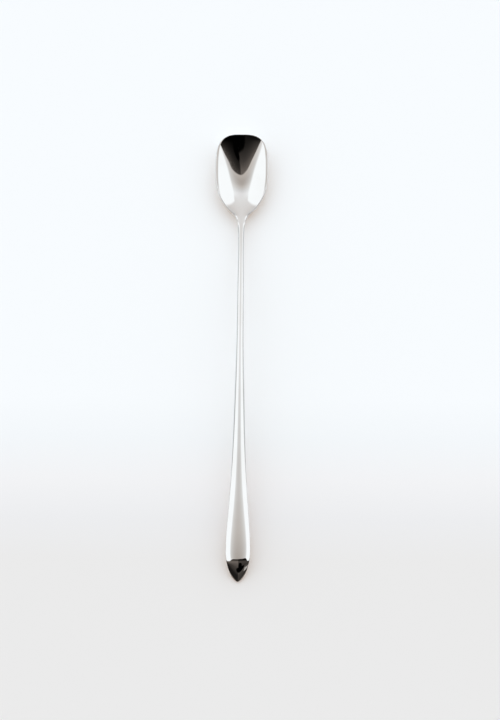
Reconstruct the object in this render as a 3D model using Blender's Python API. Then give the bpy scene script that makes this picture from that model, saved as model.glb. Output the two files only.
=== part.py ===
# Long ice cream spoon with a squared bowl, a slender stem and a flared, pointed handle.
# It lies as on a table: +Z is up, the bowl points along +Y and the handle ends towards -Y.
# Every piece is a skin over cross sections taken from the same curves, so that the pieces meet flush.
import math

import bmesh
import bpy
import numpy as np

MM = 0.001

# Lengths along the spoon, from the front edge of the bowl to the end of the handle
BOWL_LENGTH = 37.0 * MM
NECK_LENGTH = 13.0 * MM
STEM_LENGTH = 68.0 * MM
HANDLE_LENGTH = 68.5 * MM
TIP_LENGTH = 13.5 * MM

# Distances to the places where a width or height is set: the widest and lowest places of the bowl
# from its front, two places on the stem from the neck, two on the handle from the stem; then the lengths
# of the flare at the heel, of the root of the neck behind it and of the bevel at the tip
BOWL_WIDEST = 15.0 * MM
BOWL_LOWEST = 27.1 * MM
STEM_RISE = 15.0 * MM
STEM_ARCH = 42.0 * MM
HANDLE_MIDDLE = 31.5 * MM
HANDLE_SHOULDER = 52.0 * MM
HEEL_RUN = 2.6 * MM
ROOT_RUN = 6.0 * MM
BEVEL_LENGTH = 9.7 * MM

# Widths seen from above
BOWL_WIDTH = 23.56 * MM
HEEL_FLARE = 3.0 * MM
NECK_WIDTH = 2.44 * MM
STEM_WIDTH = 2.76 * MM
ARCH_WIDTH = 3.14 * MM
GRIP_WIDTH = 4.5 * MM
MIDDLE_WIDTH = 6.5 * MM
SHOULDER_WIDTH = 9.15 * MM
HANDLE_WIDTH = 10.9 * MM

# Heights of the upper centre line above the table
FRONT_HEIGHT = 7.43 * MM
HEEL_HEIGHT = 3.4 * MM
NECK_HEIGHT = 7.5 * MM
RISE_HEIGHT = 10.5 * MM
ARCH_HEIGHT = 12.5 * MM
MIDDLE_HEIGHT = 10.1 * MM
HANDLE_HEIGHT = 6.0 * MM
HANDLE_SLOPE = 0.17

# Share of the rise from the floor to the front that is left at each quarter of the way down
RAMP_UPPER = 0.688
RAMP_MIDDLE = 0.391
RAMP_LOWER = 0.129

# Heights of the rim of the bowl: at the widest place, beside the lowest place and at the heel
RIM_SIDE_HEIGHT = 5.89 * MM
RIM_BACK_HEIGHT = 4.52 * MM
RIM_HEEL_HEIGHT = 4.1 * MM

# Rise of the rounded top above the widest line from neck to handle, and its share of the width on the bevel
NECK_CROWN = 0.88 * MM
STEM_CROWN = 1.02 * MM
GRIP_CROWN = 1.39 * MM
HANDLE_CROWN = 1.25 * MM
BEVEL_CROWN = 0.2

# Breadth of the flat rim at the sides, the front and the heel, the run over which it changes, and the
# roundings at the front and under the other pieces
RIM_BREADTH = 1.05 * MM
FRONT_BREADTH = 0.15 * MM
HEEL_BREADTH = 0.5 * MM
RIM_RUN = 10.0 * MM
FRONT_ROUNDING = 0.1 * MM
EDGE_ROUNDING = 0.6 * MM

# Thicknesses of the rim and along the centre line
RIM_THICKNESS = 0.8 * MM
FLOOR_THICKNESS = 1.2 * MM
HEEL_THICKNESS = 1.95 * MM
NECK_THICKNESS = 2.7 * MM
ARCH_THICKNESS = 2.9 * MM
GRIP_THICKNESS = 3.2 * MM
HANDLE_THICKNESS = 2.9 * MM
POINT_THICKNESS = 0.6 * MM
SOLE_DEPTH = 0.12 * MM

# Shape of the curves: a higher number gives a squarer front, a flatter middle or a rounder top
FRONT_SQUARENESS = 3.2
CORNER_SQUARENESS = 2.95
SIDE_FULLNESS = 2.9
RIM_SQUARENESS = 6.0
DISH_FRONT = 2.95
DISH_MIDDLE = 2.25
DISH_BACK = 1.8
BAR_ROUNDNESS = 0.25
TIP_FULLNESS = 2.0
TIP_SHARPNESS = 0.62
POINT_TAPER = 2.2
BEVEL_CURVE = 0.2

# Blunting of the two ends, softness of the bends, and the film between two pieces
FRONT_BLUNT = 0.02 * MM
POINT_BLUNT = 0.15 * MM
BEND_SOFTNESS = 0.24 * MM
JOINT_GAP = 0.05 * MM

# Points on half a cross section: over the top, round the edge, along the underside
TOP_COUNT = 9
EDGE_COUNT = 4
UNDER_COUNT = 6
SHARP_ANGLE = 40.0

# Number of cross sections along each piece
BOWL_COUNT = 38
NECK_COUNT = 12
STEM_COUNT = 18
HANDLE_COUNT = 18
TIP_COUNT = 22

STEEL_COLOUR = (0.66, 0.655, 0.65, 1.0)
STEEL_ROUGHNESS = 0.08

# Places along the spoon, measured from the front edge
HEEL = BOWL_LENGTH
NECK_END = HEEL + NECK_LENGTH
STEM_END = NECK_END + STEM_LENGTH
HANDLE_END = STEM_END + HANDLE_LENGTH
TOTAL_LENGTH = HANDLE_END + TIP_LENGTH
BEVEL_START = TOTAL_LENGTH - BEVEL_LENGTH
FLOOR_HEIGHT = FLOOR_THICKNESS - SOLE_DEPTH
RAMP_RISE = FRONT_HEIGHT - FLOOR_HEIGHT


def ease(start, end, place):
    t = min(max((place - start) / (end - start), 0.0), 1.0)
    return t * t * (3.0 - 2.0 * t)


def soft_min(a, b, width):
    t = min(max(0.5 + 0.5 * (b - a) / width, 0.0), 1.0)
    return b + (a - b) * t - width * t * (1.0 - t)


def curve_through(stations, start_slope=None, end_slope=None):
    # Cubic curve through the stations with an even bend: free ends unless a slope is given
    x = np.array([station[0] for station in stations])
    y = np.array([station[1] for station in stations])
    step = np.diff(x)
    rise = np.diff(y) / step
    count = len(x)
    rows = np.eye(count)
    right = np.zeros(count)
    for i in range(1, count - 1):
        rows[i, i - 1:i + 2] = step[i - 1], 2.0 * (step[i - 1] + step[i]), step[i]
        right[i] = 6.0 * (rise[i] - rise[i - 1])
    if start_slope is not None:
        rows[0, :2] = 2.0 * step[0], step[0]
        right[0] = 6.0 * (rise[0] - start_slope)
    if end_slope is not None:
        rows[-1, -2:] = step[-1], 2.0 * step[-1]
        right[-1] = 6.0 * (end_slope - rise[-1])
    bend = np.linalg.solve(rows, right)

    def value(place):
        place = min(max(place, x[0]), x[-1])
        i = int(np.clip(np.searchsorted(x, place) - 1, 0, count - 2))
        a = (x[i + 1] - place) / step[i]
        b = 1.0 - a
        cubic = (a ** 3 - a) * bend[i] + (b ** 3 - b) * bend[i + 1]
        return float(a * y[i] + b * y[i + 1] + cubic * step[i] ** 2 / 6.0)

    return value


# Plan of the stem and handle: half widths
handle_plan = curve_through([
    (NECK_END, NECK_WIDTH / 2),
    (NECK_END + STEM_RISE, STEM_WIDTH / 2),
    (NECK_END + STEM_ARCH, ARCH_WIDTH / 2),
    (STEM_END, GRIP_WIDTH / 2),
    (STEM_END + HANDLE_MIDDLE, MIDDLE_WIDTH / 2),
    (STEM_END + HANDLE_SHOULDER, SHOULDER_WIDTH / 2),
    (HANDLE_END, HANDLE_WIDTH / 2),
], 0.0, 0.0)

# Side view: the upper centre line as it would run without the bevel at the tip
centre_line = curve_through([
    (0.0, FRONT_HEIGHT),
    (BOWL_LOWEST / 4, FLOOR_HEIGHT + RAMP_RISE * RAMP_UPPER),
    (BOWL_LOWEST / 2, FLOOR_HEIGHT + RAMP_RISE * RAMP_MIDDLE),
    (BOWL_LOWEST * 3 / 4, FLOOR_HEIGHT + RAMP_RISE * RAMP_LOWER),
    (BOWL_LOWEST, FLOOR_HEIGHT),
    (HEEL, HEEL_HEIGHT),
    (NECK_END, NECK_HEIGHT),
    (NECK_END + STEM_RISE, RISE_HEIGHT),
    (NECK_END + STEM_ARCH, ARCH_HEIGHT),
    (STEM_END + HANDLE_MIDDLE, MIDDLE_HEIGHT),
    (HANDLE_END, HANDLE_HEIGHT),
    (TOTAL_LENGTH, HANDLE_HEIGHT - HANDLE_SLOPE * TIP_LENGTH),
])

# Side view: the rim of the bowl
rim_line = curve_through([
    (0.0, FRONT_HEIGHT),
    (BOWL_WIDEST, RIM_SIDE_HEIGHT),
    (BOWL_LOWEST, RIM_BACK_HEIGHT),
    (HEEL, RIM_HEEL_HEIGHT),
])

# Fullness of the hollow of the bowl
dish_power = curve_through([
    (0.0, DISH_FRONT),
    (BOWL_WIDEST, DISH_MIDDLE),
    (BOWL_LOWEST, DISH_BACK),
    (HEEL, DISH_BACK),
], 0.0, 0.0)

# Rise of the rounded top from the neck to the end of the handle
crown_rise = curve_through([
    (NECK_END, NECK_CROWN),
    (NECK_END + STEM_ARCH, STEM_CROWN),
    (STEM_END, GRIP_CROWN),
    (HANDLE_END, HANDLE_CROWN),
], 0.0, 0.0)

# Thickness from the bowl to the end of the handle
body_thickness = curve_through([
    (0.0, RIM_THICKNESS),
    (BOWL_LOWEST, FLOOR_THICKNESS),
    (HEEL, HEEL_THICKNESS),
    (NECK_END, NECK_THICKNESS),
    (NECK_END + STEM_ARCH, ARCH_THICKNESS),
    (STEM_END, GRIP_THICKNESS),
    (HANDLE_END, HANDLE_THICKNESS),
], 0.0, 0.0)


def half_width(place):
    if place < BOWL_WIDEST:
        ahead = (BOWL_WIDEST - place) / (BOWL_WIDEST + FRONT_BLUNT)
        return BOWL_WIDTH / 2 * (1.0 - ahead ** FRONT_SQUARENESS) ** (1.0 / CORNER_SQUARENESS)
    if place < NECK_END:
        behind = (place - BOWL_WIDEST) / (HEEL + HEEL_FLARE / 2 - BOWL_WIDEST)
        side = BOWL_WIDTH / 2 * (1.0 - min(behind, 1.0) ** SIDE_FULLNESS)
        past = (place - HEEL) / HEEL_RUN
        flare = math.exp(-past) if past > 0.0 else 1.0 - max(past, -2.0)
        root = NECK_WIDTH / 2 + HEEL_FLARE / 2 * flare
        return -soft_min(-side, -root, BEND_SOFTNESS)
    if place < HANDLE_END:
        return handle_plan(place)
    along = (place - HANDLE_END) / (TIP_LENGTH + POINT_BLUNT)
    return HANDLE_WIDTH / 2 * (1.0 - along ** TIP_FULLNESS) ** TIP_SHARPNESS


def thickness(place):
    if place < HANDLE_END:
        return body_thickness(place)
    along = (place - HANDLE_END) / TIP_LENGTH
    return HANDLE_THICKNESS + (POINT_THICKNESS - HANDLE_THICKNESS) * along ** POINT_TAPER


def bevel_height(place):
    share = (TOTAL_LENGTH - place) / BEVEL_LENGTH
    share = share * (1.0 + BEVEL_CURVE) - BEVEL_CURVE * share ** 2
    return POINT_THICKNESS + (centre_line(BEVEL_START) - POINT_THICKNESS) * share


def top_height(place):
    if place < HANDLE_END:
        return centre_line(place)
    return soft_min(centre_line(place), bevel_height(place), BEND_SOFTNESS)


def edge_height(place):
    bar_edge = centre_line(place) - crown_rise(place)
    if place < HANDLE_END:
        return rim_line(place) + (bar_edge - rim_line(place)) * ease(HEEL, HEEL + ROOT_RUN, place)
    return soft_min(bar_edge, bevel_height(place) - BEVEL_CROWN * half_width(place), BEND_SOFTNESS)


def dish_section(place):
    # Right half of the thin shell of the bowl, from top centre round the rim to bottom centre
    lip = max(1.0 - (place + FRONT_BLUNT) / FRONT_ROUNDING, 0.0)
    full = math.sqrt(1.0 - lip ** 2)
    wide = RIM_BREADTH + (HEEL_BREADTH - RIM_BREADTH) * ease(HEEL - RIM_RUN, HEEL, place)
    flat = FRONT_BREADTH + (wide - FRONT_BREADTH) * ease(0.0, RIM_RUN, place)
    breadth = flat * full
    depth = RIM_THICKNESS / 2 * full
    hollow = half_width(place) - wide * full
    inner = half_width(place) - breadth
    middle = edge_height(place) - RIM_THICKNESS / 2
    dish = top_height(place) - edge_height(place)
    under = dish - thickness(place) + RIM_THICKNESS
    power = dish_power(place)
    # Towards the front the rim thins out, and the hollow runs on up to it
    lift = dish * (1.0 - (inner / hollow) ** power)
    points = []
    for i in range(TOP_COUNT + 1):
        w = i / TOP_COUNT
        points.append((inner * w, middle + depth + dish * (1.0 - (inner * w / hollow) ** power)))
    for i in range(1, EDGE_COUNT + 1):
        turn = math.pi * (0.5 - i / EDGE_COUNT)
        out = math.cos(turn) ** (2.0 / RIM_SQUARENESS)
        points.append((inner + breadth * out, middle + lift + depth * math.sin(turn)))
    for i in range(1, UNDER_COUNT + 1):
        w = 1.0 - i / UNDER_COUNT
        points.append((inner * w, middle + lift - depth + (under - lift) * (1.0 - w ** power)))
    return points


def bar_section(place):
    # Right half of the solid neck, stem and handle: bowed top, flat underside
    half = half_width(place)
    breadth = half * EDGE_ROUNDING / (half + EDGE_ROUNDING)
    middle = edge_height(place)
    rise = top_height(place) - middle
    depth = thickness(place) - rise
    # The top is a shallow bow with crisp edges
    points = []
    for i in range(TOP_COUNT + 1):
        turn = math.pi / 2 * i / TOP_COUNT
        crown = BAR_ROUNDNESS * math.cos(turn) + (1.0 - BAR_ROUNDNESS) * math.cos(turn) ** 2
        points.append((half * math.sin(turn), middle + rise * crown))
    for i in range(1, EDGE_COUNT + 1):
        turn = math.pi / 2 * i / EDGE_COUNT
        points.append((half - breadth + breadth * math.cos(turn), middle - depth * math.sin(turn)))
    for i in range(1, UNDER_COUNT + 1):
        w = 1.0 - i / UNDER_COUNT
        points.append(((half - breadth) * w, middle - depth))
    return points


def section(place):
    # Whole ring: the dish turns into the bar over the heel and the root of the neck
    change = ease(HEEL - HEEL_RUN, HEEL + ROOT_RUN, place)
    right = bar_section(place)
    if change < 1.0:
        shell = dish_section(place)
        right = [(a + (c - a) * change, b + (d - b) * change) for (a, b), (c, d) in zip(shell, right)]
    left = [(-x, z) for x, z in reversed(right[1:-1])]
    return right + left


def steel(name):
    material = bpy.data.materials.new(name + "_polished_steel")
    material.use_nodes = True
    shader = material.node_tree.nodes["Principled BSDF"]
    shader.inputs["Base Color"].default_value = STEEL_COLOUR
    shader.inputs["Metallic"].default_value = 1.0
    shader.inputs["Roughness"].default_value = STEEL_ROUGHNESS
    return material


def loft(name, places, flat_sole=False):
    # Skin over the sections at the given places, closed by flat faces at both ends
    body = bmesh.new()
    rings = []
    for place in places:
        y = TOTAL_LENGTH / 2 - place
        rings.append([body.verts.new((x, y, z)) for x, z in section(place)])
    for front, back in zip(rings, rings[1:]):
        for i in range(len(front)):
            j = (i + 1) % len(front)
            body.faces.new((front[i], front[j], back[j], back[i]))
    body.faces.new(rings[0])
    body.faces.new(rings[-1])
    if flat_sole:
        # Flat that the bowl rests on
        everything = body.verts[:] + body.edges[:] + body.faces[:]
        bmesh.ops.bisect_plane(body, geom=everything, plane_co=(0.0, 0.0, 0.0),
                               plane_no=(0.0, 0.0, -1.0), clear_outer=True)
        bmesh.ops.holes_fill(body, edges=[edge for edge in body.edges if edge.is_boundary])
    bmesh.ops.recalc_face_normals(body, faces=body.faces[:])
    for face in body.faces:
        face.smooth = True
    mesh = bpy.data.meshes.new(name)
    body.to_mesh(mesh)
    body.free()
    mesh.set_sharp_from_angle(angle=math.radians(SHARP_ANGLE))
    mesh.materials.append(steel(name))
    piece = bpy.data.objects.new(name, mesh)
    bpy.context.scene.collection.objects.link(piece)


def even(t):
    return t


def crowd_both(t):
    # Closer together at both ends, where the outline turns
    return 0.5 - 0.5 * math.cos(math.pi * t)


def crowd_end(t):
    # Closer together towards the far end
    return math.sin(math.pi / 2 * t)


def spread(start, end, steps, pace):
    return [start + (end - start) * pace(i / steps) for i in range(steps + 1)]


for old in list(bpy.data.objects):
    bpy.data.objects.remove(old, do_unlink=True)

FILM = JOINT_GAP / 2
loft("bowl", spread(0.0, HEEL - FILM, BOWL_COUNT, crowd_both), flat_sole=True)
loft("neck", spread(HEEL + FILM, NECK_END - FILM, NECK_COUNT, even))
loft("stem", spread(NECK_END + FILM, STEM_END - FILM, STEM_COUNT, even))
loft("handle", spread(STEM_END + FILM, HANDLE_END - FILM, HANDLE_COUNT, even))
loft("tip", spread(HANDLE_END + FILM, TOTAL_LENGTH, TIP_COUNT, crowd_end))
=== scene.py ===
import math

import bpy
import numpy as np
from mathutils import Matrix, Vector


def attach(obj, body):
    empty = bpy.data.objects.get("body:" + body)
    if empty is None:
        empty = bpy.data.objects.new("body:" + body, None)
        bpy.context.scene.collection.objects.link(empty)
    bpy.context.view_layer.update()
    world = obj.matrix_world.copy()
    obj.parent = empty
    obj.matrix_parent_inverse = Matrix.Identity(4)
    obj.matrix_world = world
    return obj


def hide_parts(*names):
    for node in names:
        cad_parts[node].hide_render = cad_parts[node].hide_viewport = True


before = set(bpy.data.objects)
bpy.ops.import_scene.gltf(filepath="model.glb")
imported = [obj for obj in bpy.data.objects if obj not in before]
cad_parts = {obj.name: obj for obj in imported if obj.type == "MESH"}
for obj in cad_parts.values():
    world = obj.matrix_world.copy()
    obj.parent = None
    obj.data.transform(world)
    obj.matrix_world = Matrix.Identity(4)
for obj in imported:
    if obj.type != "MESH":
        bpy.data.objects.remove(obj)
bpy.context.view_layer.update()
print("frame loaded:", ", ".join(sorted(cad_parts)))

mm = 0.001
tiny = 1e-12  # keeps divisions safe

# all lengths in millimetres, along the spoon from the front edge of the bowl
bowl = {
    "length": 37.0, "width": 23.56, "widestAt": 15.0, "lowestAt": 27.1,
    "frontHeight": 7.43, "floorHeight": 1.08, "floorThickness": 1.2,
    "rampUpper": 0.688, "rampMiddle": 0.391, "rampLower": 0.129,
    "rimThickness": 0.8, "rimBreadth": 1.05, "frontBreadth": 0.15, "heelBreadth": 0.5, "rimRun": 10.0,
    "rimSquareness": 6.0, "roundedFrom": 22.0, "roundedTo": 30.0, "frontRounding": 0.1,
    "rimSideHeight": 5.89, "rimBackHeight": 4.52, "rimHeelHeight": 4.1,
    "frontSquareness": 3.2, "cornerSquareness": 2.95, "sideFullness": 2.9,
    "dishFront": 2.95, "dishMiddle": 2.25, "dishBack": 1.8,
    "frontBlunt": 0.02, "slices": 150,
}
neck = {
    "length": 13.0, "width": 2.44, "height": 7.5, "thickness": 2.7, "crown": 0.88,
    "heelHeight": 3.4, "heelThickness": 1.95, "heelFlare": 3.0, "heelRun": 2.6, "heelSpread": 2.0,
    "rootRun": 6.0, "slices": 60,
}
stem = {
    "length": 68.0, "riseAt": 15.0, "riseWidth": 2.76, "riseHeight": 10.5,
    "archAt": 42.0, "archWidth": 3.14, "archHeight": 12.5, "archThickness": 2.9, "crown": 1.02,
    "slices": 70,
}
handle = {
    "length": 68.5, "startWidth": 4.5, "startThickness": 3.2, "startCrown": 1.39,
    "middleAt": 31.5, "middleWidth": 6.5, "middleHeight": 10.1,
    "shoulderAt": 52.0, "shoulderWidth": 9.15,
    "endWidth": 10.9, "endHeight": 6.0, "endThickness": 2.9, "endSlope": 0.17, "endCrown": 1.25,
    "roundness": 0.25, "edgeRounding": 0.6, "slices": 80,
}
tip = {
    "length": 13.5, "bevelLength": 9.7, "pointThickness": 0.6, "pointBlunt": 0.15,
    "fullness": 2.0, "sharpness": 0.62, "taper": 2.2, "bevelCrown": 0.2, "bevelCurve": 0.2, "slices": 70,
}
# how soft the bends are, and the steps over the top, round the edge and under the spoon
skin = {"bendSoftness": 0.24, "topSteps": 40, "edgeSteps": 16, "underSteps": 26}

heelAt = bowl["length"]
neckEnd = heelAt + neck["length"]
stemEnd = neckEnd + stem["length"]
handleEnd = stemEnd + handle["length"]
wholeLength = handleEnd + tip["length"]
bevelStart = wholeLength - tip["bevelLength"]


def ease(start, end, place):
    t = min(max((place - start) / (end - start), 0.0), 1.0)
    return t * t * (3.0 - 2.0 * t)


def softMin(a, b, width):
    t = min(max(0.5 + 0.5 * (b - a) / width, 0.0), 1.0)
    return b + (a - b) * t - width * t * (1.0 - t)


def curveThrough(stations, startSlope=None, endSlope=None):
    # even-bending cubic through the stations, free ends unless a slope is given
    x, y = np.array(stations, float).T
    step = np.diff(x)
    rise = np.diff(y) / step
    count = len(x)
    rows, right = np.eye(count), np.zeros(count)
    for i in range(1, count - 1):
        rows[i, i - 1:i + 2] = step[i - 1], 2.0 * (step[i - 1] + step[i]), step[i]
        right[i] = 6.0 * (rise[i] - rise[i - 1])
    if startSlope is not None:
        rows[0, :2] = 2.0 * step[0], step[0]
        right[0] = 6.0 * (rise[0] - startSlope)
    if endSlope is not None:
        rows[-1, -2:] = step[-1], 2.0 * step[-1]
        right[-1] = 6.0 * (endSlope - rise[-1])
    bend = np.linalg.solve(rows, right)

    def value(place):
        place = min(max(place, x[0]), x[-1])
        i = int(np.clip(np.searchsorted(x, place) - 1, 0, count - 2))
        a = (x[i + 1] - place) / step[i]
        b = 1.0 - a
        cubic = (a ** 3 - a) * bend[i] + (b ** 3 - b) * bend[i + 1]
        return float(a * y[i] + b * y[i + 1] + cubic * step[i] ** 2 / 6.0)

    return value


# plan of the stem and handle, as half widths
handlePlan = curveThrough([
    (neckEnd, neck["width"] / 2),
    (neckEnd + stem["riseAt"], stem["riseWidth"] / 2),
    (neckEnd + stem["archAt"], stem["archWidth"] / 2),
    (stemEnd, handle["startWidth"] / 2),
    (stemEnd + handle["middleAt"], handle["middleWidth"] / 2),
    (stemEnd + handle["shoulderAt"], handle["shoulderWidth"] / 2),
    (handleEnd, handle["endWidth"] / 2),
], 0.0, 0.0)

# upper centre line in the side view, before the bevel is cut
rampRise = bowl["frontHeight"] - bowl["floorHeight"]
centreLine = curveThrough([
    (0.0, bowl["frontHeight"]),
    (bowl["lowestAt"] / 4, bowl["floorHeight"] + rampRise * bowl["rampUpper"]),
    (bowl["lowestAt"] / 2, bowl["floorHeight"] + rampRise * bowl["rampMiddle"]),
    (bowl["lowestAt"] * 3 / 4, bowl["floorHeight"] + rampRise * bowl["rampLower"]),
    (bowl["lowestAt"], bowl["floorHeight"]),
    (heelAt, neck["heelHeight"]),
    (neckEnd, neck["height"]),
    (neckEnd + stem["riseAt"], stem["riseHeight"]),
    (neckEnd + stem["archAt"], stem["archHeight"]),
    (stemEnd + handle["middleAt"], handle["middleHeight"]),
    (handleEnd, handle["endHeight"]),
    (wholeLength, handle["endHeight"] - handle["endSlope"] * tip["length"]),
])

rimLine = curveThrough([
    (0.0, bowl["frontHeight"]),
    (bowl["widestAt"], bowl["rimSideHeight"]),
    (bowl["lowestAt"], bowl["rimBackHeight"]),
    (heelAt, bowl["rimHeelHeight"]),
])

dishPower = curveThrough([
    (0.0, bowl["dishFront"]),
    (bowl["widestAt"], bowl["dishMiddle"]),
    (bowl["lowestAt"], bowl["dishBack"]),
    (heelAt, bowl["dishBack"]),
], 0.0, 0.0)

crownRise = curveThrough([
    (neckEnd, neck["crown"]),
    (neckEnd + stem["archAt"], stem["crown"]),
    (stemEnd, handle["startCrown"]),
    (handleEnd, handle["endCrown"]),
], 0.0, 0.0)

bodyThickness = curveThrough([
    (0.0, bowl["rimThickness"]),
    (bowl["lowestAt"], bowl["floorThickness"]),
    (heelAt, neck["heelThickness"]),
    (neckEnd, neck["thickness"]),
    (neckEnd + stem["archAt"], stem["archThickness"]),
    (stemEnd, handle["startThickness"]),
    (handleEnd, handle["endThickness"]),
], 0.0, 0.0)


def halfWidth(place):
    if place < bowl["widestAt"]:
        ahead = (bowl["widestAt"] - place) / (bowl["widestAt"] + bowl["frontBlunt"])
        share = 1.0 - ahead ** bowl["frontSquareness"]
        return bowl["width"] / 2 * share ** (1.0 / bowl["cornerSquareness"])
    if place < neckEnd:
        behind = (place - bowl["widestAt"]) / (heelAt + neck["heelFlare"] / 2 - bowl["widestAt"])
        side = bowl["width"] / 2 * (1.0 - min(behind, 1.0) ** bowl["sideFullness"])
        past = (place - heelAt) / neck["heelRun"]
        flare = math.exp(-past) if past > 0.0 else 1.0 + min(-past, neck["heelSpread"])
        root = neck["width"] / 2 + neck["heelFlare"] / 2 * flare
        return -softMin(-side, -root, skin["bendSoftness"])
    if place < handleEnd:
        return handlePlan(place)
    along = (place - handleEnd) / (tip["length"] + tip["pointBlunt"])
    return handle["endWidth"] / 2 * (1.0 - along ** tip["fullness"]) ** tip["sharpness"]


def thicknessAt(place):
    if place < handleEnd:
        return bodyThickness(place)
    along = (place - handleEnd) / tip["length"]
    return handle["endThickness"] + (tip["pointThickness"] - handle["endThickness"]) * along ** tip["taper"]


def bevelHeight(place):
    share = (wholeLength - place) / tip["bevelLength"]
    share = share * (1.0 + tip["bevelCurve"]) - tip["bevelCurve"] * share ** 2
    return tip["pointThickness"] + (centreLine(bevelStart) - tip["pointThickness"]) * share


def topHeight(place):
    if place < handleEnd:
        return centreLine(place)
    return softMin(centreLine(place), bevelHeight(place), skin["bendSoftness"])


def edgeHeight(place):
    barEdge = centreLine(place) - crownRise(place)
    if place < handleEnd:
        return rimLine(place) + (barEdge - rimLine(place)) * ease(heelAt, heelAt + neck["rootRun"], place)
    return softMin(barEdge, bevelHeight(place) - tip["bevelCrown"] * halfWidth(place), skin["bendSoftness"])


topShare = np.arange(skin["topSteps"] + 1) / skin["topSteps"]
edgeShare = np.arange(1, skin["edgeSteps"] + 1) / skin["edgeSteps"]
underShare = 1.0 - np.arange(1, skin["underSteps"] + 1) / skin["underSteps"]


def dishSlice(place):
    # right half of the thin shell of the bowl, from top centre round the rim to bottom centre
    lip = max(1.0 - (place + bowl["frontBlunt"]) / bowl["frontRounding"], 0.0)
    full = math.sqrt(1.0 - lip ** 2)
    # the flat rim is broad at the sides and thins out towards the front and the heel
    run = bowl["rimRun"]
    rounded = ease(bowl["roundedFrom"], bowl["roundedTo"], place)
    thinning = ease(heelAt - run, heelAt, place)
    wide = bowl["rimBreadth"] + (bowl["heelBreadth"] - bowl["rimBreadth"]) * thinning
    flat = bowl["frontBreadth"] + (wide - bowl["frontBreadth"]) * ease(0.0, run, place)
    flat += (bowl["heelBreadth"] - flat) * rounded
    breadth, depth = flat * full, bowl["rimThickness"] / 2 * full
    hollow = halfWidth(place) - wide * full
    inner = halfWidth(place) - breadth
    middle = edgeHeight(place) - bowl["rimThickness"] / 2
    dish = topHeight(place) - edgeHeight(place)
    under = dish - thicknessAt(place) + bowl["rimThickness"]
    power = dishPower(place)
    lift = dish * (1.0 - (inner / hollow) ** power)  # the hollow runs on up where the rim is narrow
    turn = math.pi * (0.5 - edgeShare)
    out = np.cos(turn) ** (2.0 / bowl["rimSquareness"])
    side = np.sin(turn)
    # towards the heel the upper edge is rounded over the whole thickness
    out += (np.cos(turn) - out) * rounded
    side += (np.maximum(2.0 * side - 1.0, -1.0) - side) * rounded
    across = np.concatenate([inner * topShare, inner + breadth * out, inner * underShare])
    up = np.concatenate([middle + depth + dish * (1.0 - (inner * topShare / hollow) ** power),
                         middle + lift + depth * side,
                         middle + lift - depth + (under - lift) * (1.0 - underShare ** power)])
    return np.column_stack([across, up])


def barSlice(place):
    # right half of the solid neck, stem, handle and tip: bowed top, flat underside
    half = halfWidth(place)
    breadth = half * handle["edgeRounding"] / (half + handle["edgeRounding"])
    middle = edgeHeight(place)
    rise = topHeight(place) - middle
    depth = thicknessAt(place) - rise
    over, under = math.pi / 2 * topShare, math.pi / 2 * edgeShare
    # a shallow bow with crisp edges
    crown = handle["roundness"] * np.cos(over) + (1.0 - handle["roundness"]) * np.cos(over) ** 2
    across = np.concatenate([half * np.sin(over), half - breadth + breadth * np.cos(under),
                             (half - breadth) * underShare])
    up = np.concatenate([middle + rise * crown, middle - depth * np.sin(under),
                         np.full(len(underShare), middle - depth)])
    return np.column_stack([across, up])


def ringAt(place):
    # the dish turns into the bar over the heel and the root of the neck
    change = ease(heelAt - neck["heelRun"], heelAt + neck["rootRun"], place)
    right = barSlice(place)
    if change < 1.0:
        shell = dishSlice(place)
        right = shell + (right - shell) * change
    left = right[-2:0:-1] * (-1.0, 1.0)
    ring = np.vstack([right, left])
    y = np.full(len(ring), wholeLength / 2 - place)
    return np.column_stack([ring[:, 0], y, np.maximum(ring[:, 1], 0.0)])


def pace(start, end, steps, kind):
    t = np.linspace(0.0, 1.0, steps + 1)
    if kind == "bothEnds":
        t = 0.5 - 0.5 * np.cos(math.pi * t)
    if kind == "farEnd":
        t = np.sin(math.pi / 2 * t)
    return start + (end - start) * t


pieceRuns = [
    ("bowl", pace(0.0, heelAt, bowl["slices"], "bothEnds")),
    ("neck", pace(heelAt, neckEnd, neck["slices"], "even")),
    ("stem", pace(neckEnd, stemEnd, stem["slices"], "even")),
    ("handle", pace(stemEnd, handleEnd, handle["slices"], "even")),
    ("tip", pace(handleEnd, wholeLength, tip["slices"], "farEnd")),
]

# one run of slices for the whole spoon, so that the shine flows over the joins
places = np.concatenate([pieceRuns[0][1]] + [run[1:] for name, run in pieceRuns[1:]])
rings = np.array([ringAt(place) for place in places])
alongRun = np.gradient(rings, axis=0)
aroundRun = np.roll(rings, -1, axis=1) - np.roll(rings, 1, axis=1)
shine = np.cross(alongRun, aroundRun)
shine /= np.linalg.norm(shine, axis=2, keepdims=True) + tiny
shine[rings[:, :, 2] <= 0.0] = (0.0, 0.0, -1.0)
print("slices of the spoon:", len(places), "with", rings.shape[1], "points each")


def makePiece(name, first, last):
    count = rings.shape[1]
    points = rings[first:last + 1].reshape(-1, 3) * mm
    normals = shine[first:last + 1].reshape(-1, 3)
    faces = []
    for row in range(last - first):
        for i in range(count):
            j = (i + 1) % count
            low, high = row * count, (row + 1) * count
            faces.append((low + i, high + i, high + j, low + j))
    endRow = (last - first) * count
    faces.append(tuple(range(count)))
    faces.append(tuple(range(endRow + count - 1, endRow - 1, -1)))
    mesh = bpy.data.meshes.new(name)
    mesh.from_pydata(points.tolist(), [], faces)
    mesh.update()
    mesh.polygons.foreach_set("use_smooth", [True] * len(faces))
    # the walls take the shine of the whole spoon, the end caps stay flat
    loopNormals = []
    for face in mesh.polygons:
        for vertex in face.vertices:
            loopNormals.append(face.normal if len(face.vertices) > 4 else normals[vertex])
    mesh.normals_split_custom_set([tuple(n) for n in loopNormals])
    piece = bpy.data.objects.new(name, mesh)
    bpy.context.scene.collection.objects.link(piece)
    return piece


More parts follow.
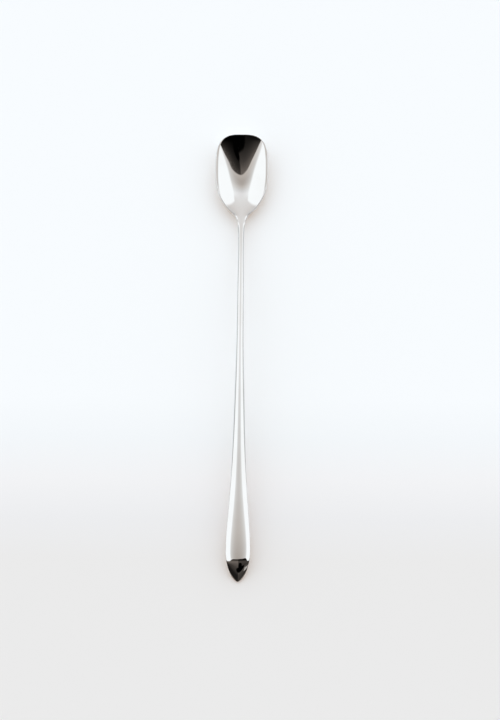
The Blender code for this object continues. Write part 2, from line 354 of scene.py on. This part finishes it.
def put(tree, kind, **settings):
    node = tree.nodes.new("ShaderNode" + kind)
    for key, value in settings.items():
        setattr(node, key, value)
    return node


def feed(tree, socket, value):
    if isinstance(value, bpy.types.NodeSocket):
        tree.links.new(value, socket)
    else:
        socket.default_value = value


def calc(tree, operation, *values):
    node = put(tree, "Math", operation=operation)
    for socket, value in zip(node.inputs, values):
        feed(tree, socket, value)
    return node.outputs[0]


def remap(tree, value, start, end, low=0.0, high=1.0, kind="LINEAR"):
    node = put(tree, "MapRange", interpolation_type=kind)
    for socket, number in zip(node.inputs, (value, start, end, low, high)):
        feed(tree, socket, number)
    return node.outputs[0]


def fade(tree, value, start, end):
    # 0 at start, 1 at end, soft between
    if start < end:
        return remap(tree, value, start, end, kind="SMOOTHSTEP")
    return calc(tree, "SUBTRACT", 1.0, remap(tree, value, end, start, kind="SMOOTHSTEP"))


def ramp(tree, value, stops):
    # stops are (value, colour)
    low, high = stops[0][0], stops[-1][0]
    node = put(tree, "ValToRGB")
    feed(tree, node.inputs[0], remap(tree, value, low, high))
    elements = node.color_ramp.elements
    while len(elements) < len(stops):
        elements.new(0.5)
    for element, (place, colour) in zip(elements, stops):
        element.position = (place - low) / (high - low)
        element.color = (*colour, 1.0)
    return node.outputs[0]


def mix(tree, share, first, second):
    # inputs 6 and 7 of this node are its two colours, output 2 is the mixed one
    node = put(tree, "Mix", data_type="RGBA")
    feed(tree, node.inputs[0], share)
    for socket, value in ((node.inputs[6], first), (node.inputs[7], second)):
        feed(tree, socket, value if isinstance(value, bpy.types.NodeSocket) else (*value, 1.0))
    return node.outputs[2]


def screen(red, green=None, blue=None):
    # screen level 0-255 to light
    levels = [red, red if green is None else green, red if blue is None else blue]
    return tuple(((v / 255 + 0.055) / 1.055) ** 2.4 if v > 10 else v / 255 / 12.92 for v in levels)


# sizes in millimetres; polishing lines run along the spoon, hairlines are marks of use
steel = {
    "colour": (0.66, 0.655, 0.65), "dullColour": (0.645, 0.636, 0.628),
    "patchSize": 14.0, "patchShare": (0.45, 0.7),
    "gloss": 0.013, "lineGloss": 0.026, "lineWidth": 0.35, "lineLength": 14.0, "lineShare": (0.3, 0.7),
    "hairline": 0.03, "hairlineWidth": 0.12, "hairlineLength": 9.0, "hairlineSlant": 0.5,
    "hairlineShare": (0.62, 0.7),
    "waveSize": 7.0, "waveDepth": 0.0025,
}


def speckle(tree, where, size, slant=0.0, detail=2.0):
    # cloudy pattern with grains of the given size along X, Y and Z
    place = put(tree, "Mapping", vector_type="TEXTURE")
    tree.links.new(where, place.inputs["Vector"])
    place.inputs["Scale"].default_value = [length * mm for length in size]
    place.inputs["Rotation"].default_value = (0.0, 0.0, slant)
    pattern = put(tree, "TexNoise")
    pattern.inputs["Scale"].default_value = 1.0
    pattern.inputs["Detail"].default_value = detail
    tree.links.new(place.outputs[0], pattern.inputs["Vector"])
    return pattern.outputs[0]


def polishedSteel():
    material = bpy.data.materials.new("polishedSteel")
    material.use_nodes = True
    tree = material.node_tree
    shader = tree.nodes["Principled BSDF"]
    shader.inputs["Metallic"].default_value = 1.0
    where = put(tree, "TexCoord").outputs["Object"]
    patch, wave = steel["patchSize"], steel["waveSize"]
    dull = fade(tree, speckle(tree, where, (patch, patch, patch)), *steel["patchShare"])
    feed(tree, shader.inputs["Base Color"], mix(tree, dull, steel["colour"], steel["dullColour"]))
    width, length = steel["lineWidth"], steel["lineLength"]
    lines = speckle(tree, where, (width, length, width))
    shine = remap(tree, lines, *steel["lineShare"], steel["gloss"], steel["lineGloss"])
    width, length = steel["hairlineWidth"], steel["hairlineLength"]
    for slant in (steel["hairlineSlant"], -steel["hairlineSlant"]):
        marks = speckle(tree, where, (width, length, length), slant, 0.0)
        marks = calc(tree, "MULTIPLY", fade(tree, marks, *steel["hairlineShare"]), dull)
        shine = calc(tree, "MULTIPLY_ADD", marks, steel["hairline"], shine)
    feed(tree, shader.inputs["Roughness"], shine)
    # slight unevenness that hand polishing leaves
    uneven = put(tree, "Bump")
    uneven.inputs["Distance"].default_value = steel["waveDepth"] * mm
    feed(tree, uneven.inputs["Height"], speckle(tree, where, (wave, wave, wave), 0.0, 1.0))
    tree.links.new(uneven.outputs[0], shader.inputs["Normal"])
    return material


steelFinish = polishedSteel()
at = 0
for name, run in pieceRuns:
    piece = makePiece("spoon" + name.capitalize(), at, at + len(run) - 1)
    piece.data.materials.append(steelFinish)
    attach(piece, "root")
    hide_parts(name)
    at += len(run) - 1
print("spoon pieces built")

# floor tone from the handle's end towards the bowl, as (place on Y in metres, screen colour); the tones are
# painted shade, greyer towards the handle's end where less light falls
floor = {
    # the warm share of each floor tone glows, painted light that keeps the shadows warm
    "halfSize": 4.0, "drop": 0.00005, "warmGlow": (0.24, 0.1, 0.0),
    "tones": [(-0.09, (235, 235, 235)), (-0.072, (237, 238, 240)), (-0.054, (243, 244, 246)),
              (-0.036, (244, 248, 251)), (-0.018, (248, 252, 255))],
}


def layFloor():
    size, low = floor["halfSize"], -floor["drop"]
    mesh = bpy.data.meshes.new("floor")
    mesh.from_pydata([(-size, -size, low), (size, -size, low), (size, size, low), (-size, size, low)],
                     [], [(0, 1, 2, 3)])
    material = bpy.data.materials.new("paleFloor")
    material.use_nodes = True
    tree = material.node_tree
    tree.nodes.clear()
    where = put(tree, "SeparateXYZ")
    tree.links.new(put(tree, "TexCoord").outputs["Object"], where.inputs[0])
    # most of the tone is lit by the studio; a warm share of it glows on the floor as painted light, always
    # there, so that the shadows stay warm
    # the floor's tones hold painted shade: greyer towards the handle's end
    stops = [(y, np.array(screen(*colour))) for y, colour in floor["tones"]]
    warmGlow = np.array(floor["warmGlow"])
    diffuse, glow, both = put(tree, "BsdfDiffuse"), put(tree, "Emission"), put(tree, "AddShader")
    for shader, share, socket in ((diffuse, 1.0 - warmGlow, both.inputs[0]), (glow, warmGlow, both.inputs[1])):
        colour = ramp(tree, where.outputs[1], [(y, tone * share) for y, tone in stops])
        feed(tree, shader.inputs["Color"], colour)
        tree.links.new(shader.outputs[0], socket)
    tree.links.new(both.outputs[0], put(tree, "OutputMaterial").inputs["Surface"])
    mesh.materials.append(material)
    piece = bpy.data.objects.new("floor", mesh)
    bpy.context.scene.collection.objects.link(piece)


layFloor()

# the studio over the spoon, by direction: across and along are how far a ray drifts per unit of height
studio = {
    "leastRise": 0.02,
    # grey ceiling along the spoon, paler towards the panels
    "ceiling": [(-0.5, (188, 181, 174)), (-0.42, (167, 160, 154)), (-0.36, (170, 164, 158)),
                (-0.28, (188, 183, 178)), (-0.14, (205, 205, 205)), (0.0, (222, 222, 223)),
                (0.3, (221, 221, 221)), (1.2, (210, 207, 205)), (2.0, (204, 203, 202))],
    "paling": 0.5, "palingEnd": (0.35, 0.05),
    # white panels at both sides
    "panel": (248, 252, 254), "panelRight": 0.667, "panelLeft": 0.575, "panelSoft": 0.07,
    "panelSplay": 0.25, "panelEnd": (0.7, 0.56), "panelEndAside": 0.2, "panelFade": (0.01, 0.05),
    # outline of the dark end of the room
    "darkEdge": -0.4814, "darkLean": 0.0666, "darkLeanSpan": (-0.5, 0.6), "darkSoft": 0.006,
    "darkTurnRight": 0.53, "darkTurnLeft": 0.31, "darkBend": 2.0, "darkSpread": (0.15, 0.25),
    # screen levels in the dark end, from the lighter low wall up to the edge
    "darkTint": (1.0, 0.935, 0.885), "darkTilt": 0.05, "darkSplit": (0.01, 0.06),
    "darkLeft": [(-3.4, 160), (-2.7, 20), (-1.6, 28), (-1.25, 66), (-1.0, 108), (-0.72, 92),
                 (-0.65, 8), (-0.61, 18), (-0.56, 62), (-0.52, 96), (-0.48, 106)],
    "darkRight": [(-3.4, 160), (-2.7, 30), (-1.6, 64), (-1.45, 80), (-1.3, 50), (-0.95, 68), (-0.72, 58),
                  (-0.65, 0), (-0.6, 2), (-0.56, 22), (-0.53, 38), (-0.47, 76)],
    # black shapes in the dark end, each as place across, place along, size across, size along
    "cores": [(0.2, -1.17, 0.15, 0.13), (0.24, -1.34, 0.4, 0.13),
              (0.06, -0.606, 0.075, 0.025), (0.082, -0.572, 0.056, 0.02)],
    "core": (2, 2, 2), "coreEdge": (1.2, 0.75),
    # narrow lamp at the right of the dark end
    "lamp": (170, 166, 162), "lampTilt": 0.42, "lampFrom": (0.7, 0.8),
    "lampLow": (-1.38, -1.34), "lampHigh": (-1.12, -1.16),
    "horizon": (42, 41, 39), "horizonTop": 0.2,
    # plain background, and the soft light on the floor
    "pale": (0.94, 0.95, 0.96),
    "domeAlong": 1.4, "domeAcross": -0.11, "domeSquash": 0.41, "domeUp": -1.34, "domeMiddle": 2 / 3,
}


def square(tree, value):
    return calc(tree, "MULTIPLY", value, value)


def tones(tree, value, stops):
    return ramp(tree, value, [(place, screen(*colour)) for place, colour in stops])


def ceilingTone(tree, across, along):
    reach = calc(tree, "MAXIMUM", calc(tree, "DIVIDE", across, studio["panelRight"]),
                 calc(tree, "DIVIDE", across, -studio["panelLeft"]))
    reach = calc(tree, "MINIMUM", reach, 1.0)
    paling = calc(tree, "MULTIPLY", square(tree, reach), studio["paling"])
    paling = calc(tree, "MULTIPLY", paling, fade(tree, along, *studio["palingEnd"]))
    return mix(tree, paling, tones(tree, along, studio["ceiling"]), screen(*studio["panel"]))


def aboveDark(tree, across, along):
    # how far a ray passes above the dark end, whose edge is straight and falls away in front of the panels
    low, high = studio["darkLeanSpan"]
    held = remap(tree, across, low, high, low, high)
    edge = calc(tree, "MULTIPLY_ADD", held, studio["darkLean"], studio["darkEdge"])
    beyond = calc(tree, "MAXIMUM", calc(tree, "SUBTRACT", across, studio["darkTurnRight"]),
                  calc(tree, "SUBTRACT", -studio["darkTurnLeft"], across))
    beyond = calc(tree, "MAXIMUM", beyond, 0.0)
    fall = calc(tree, "MULTIPLY", square(tree, beyond), studio["darkBend"])
    fall = calc(tree, "MINIMUM", fall, calc(tree, "MULTIPLY_ADD", beyond, *studio["darkSpread"]))
    return calc(tree, "SUBTRACT", along, calc(tree, "SUBTRACT", edge, fall))


def darkTone(tree, across, along):
    depth = calc(tree, "MULTIPLY_ADD", calc(tree, "ABSOLUTE", across), -studio["darkTilt"], along)
    sides = []
    for side in ("darkLeft", "darkRight"):
        stops = [(place, [level * part for part in studio["darkTint"]]) for place, level in studio[side]]
        sides.append(tones(tree, depth, stops))
    tone = mix(tree, fade(tree, across, *studio["darkSplit"]), *sides)
    for placeAcross, placeAlong, sizeAcross, sizeAlong in studio["cores"]:
        aimAcross = calc(tree, "DIVIDE", calc(tree, "SUBTRACT", across, placeAcross), sizeAcross)
        aimAlong = calc(tree, "DIVIDE", calc(tree, "SUBTRACT", along, placeAlong), sizeAlong)
        away = calc(tree, "ADD", square(tree, aimAcross), square(tree, aimAlong))
        tone = mix(tree, fade(tree, away, *studio["coreEdge"]), tone, screen(*studio["core"]))
    strip = calc(tree, "MULTIPLY_ADD", across, studio["lampTilt"], along)
    lamp = fade(tree, across, *studio["lampFrom"])
    for end in ("lampLow", "lampHigh"):
        lamp = calc(tree, "MULTIPLY", lamp, fade(tree, strip, *studio[end]))
    return mix(tree, lamp, tone, screen(*studio["lamp"]))


def panelShare(tree, across, along, above):
    right, left, soft = studio["panelRight"], studio["panelLeft"], studio["panelSoft"]
    splay = calc(tree, "MULTIPLY", calc(tree, "MAXIMUM", along, 0.0), studio["panelSplay"])
    onRight = fade(tree, calc(tree, "SUBTRACT", across, splay), right - soft, right + soft)
    onLeft = fade(tree, calc(tree, "ADD", across, splay), soft - left, -soft - left)
    # the panels end towards the far wall and before the dark
    aside = calc(tree, "MAXIMUM", calc(tree, "ABSOLUTE", across), studio["panelEndAside"])
    ending = fade(tree, calc(tree, "DIVIDE", along, aside), *studio["panelEnd"])
    share = calc(tree, "MULTIPLY", calc(tree, "MAXIMUM", onRight, onLeft), ending)
    return calc(tree, "MULTIPLY", share, fade(tree, above, *studio["panelFade"]))


def mirroredRoom(tree, rx, ry, rz):
    up = calc(tree, "MAXIMUM", rz, studio["leastRise"])
    across, along = calc(tree, "DIVIDE", rx, up), calc(tree, "DIVIDE", ry, up)
    above = aboveDark(tree, across, along)
    share = panelShare(tree, across, along, above)
    room = mix(tree, share, ceilingTone(tree, across, along), screen(*studio["panel"]))
    isDark = fade(tree, above, studio["darkSoft"], -studio["darkSoft"])
    room = mix(tree, isDark, room, darkTone(tree, across, along))
    flat = calc(tree, "MAXIMUM", calc(tree, "SUBTRACT", 1.0, square(tree, rz)), tiny)
    level = calc(tree, "DIVIDE", rz, calc(tree, "SQRT", flat))
    return mix(tree, fade(tree, level, studio["horizonTop"], 0.0), room, screen(*studio["horizon"]))


def floorLight(tree, rx, ry, rz):
    # stronger from the bowl's end and from low down, weaker from the sides
    lean = calc(tree, "MULTIPLY", rx, studio["domeAcross"])
    lean = calc(tree, "MULTIPLY_ADD", ry, studio["domeAlong"], lean)
    squash = calc(tree, "SUBTRACT", square(tree, ry), square(tree, rx))
    lean = calc(tree, "ADD", calc(tree, "MULTIPLY_ADD", squash, studio["domeSquash"], lean), 1.0)
    height = calc(tree, "SUBTRACT", rz, studio["domeMiddle"])
    return calc(tree, "MULTIPLY_ADD", height, studio["domeUp"], lean)


def buildStudio():
    world = bpy.data.worlds.new("studio")
    bpy.context.scene.world = world
    world.use_nodes = True
    tree = world.node_tree
    tree.nodes.clear()
    towards = put(tree, "SeparateXYZ")
    tree.links.new(put(tree, "TexCoord").outputs["Generated"], towards.inputs[0])
    room, dome, pale = put(tree, "Background"), put(tree, "Background"), put(tree, "Background")
    feed(tree, room.inputs["Color"], mirroredRoom(tree, *towards.outputs))
    room.inputs["Strength"].default_value = 1.0 / steel["colour"][0]
    dome.inputs["Color"].default_value = (1.0, 1.0, 1.0, 1.0)
    feed(tree, dome.inputs["Strength"], floorLight(tree, *towards.outputs))
    pale.inputs["Color"].default_value = (*studio["pale"], 1.0)
    # the metal mirrors the room, the camera sees the plain background, and the floor gets the soft light
    rays = put(tree, "LightPath")
    shining, chosen = put(tree, "MixShader"), put(tree, "MixShader")
    tree.links.new(rays.outputs["Is Glossy Ray"], shining.inputs[0])
    tree.links.new(dome.outputs[0], shining.inputs[1])
    tree.links.new(room.outputs[0], shining.inputs[2])
    tree.links.new(rays.outputs["Is Camera Ray"], chosen.inputs[0])
    tree.links.new(shining.outputs[0], chosen.inputs[1])
    tree.links.new(pale.outputs[0], chosen.inputs[2])
    tree.links.new(chosen.outputs[0], put(tree, "OutputWorld").inputs["Surface"])


buildStudio()
print("floor and studio built")

# metres, and the turn in degrees; tall is the height of the picture where the spoon lies
view = {
    "distance": 4.0, "aim": 0.006, "tall": 0.3218, "right": 0.004514, "down": 0.000773, "turn": 0.6,
    "sensor": 36.0, "farthest": 50.0,
}


def placeCamera():
    camera = bpy.data.cameras.new("camera")
    camera.sensor_width = view["sensor"]
    camera.lens = view["sensor"] * view["distance"] / view["tall"]
    camera.clip_end = view["farthest"]
    holder = bpy.data.objects.new("camera", camera)
    turn = math.radians(view["turn"])
    acrossPicture = Vector((math.cos(turn), math.sin(turn), 0.0))
    upPicture = Vector((-math.sin(turn), math.cos(turn), 0.0))
    holder.location = acrossPicture * view["right"] - upPicture * view["down"]
    holder.location.z = view["distance"] + view["aim"]
    holder.rotation_euler = (0.0, 0.0, turn)
    bpy.context.scene.collection.objects.link(holder)
    bpy.context.scene.camera = holder


placeCamera()
bpy.context.scene.view_settings.view_transform = "Standard"
print("camera placed")
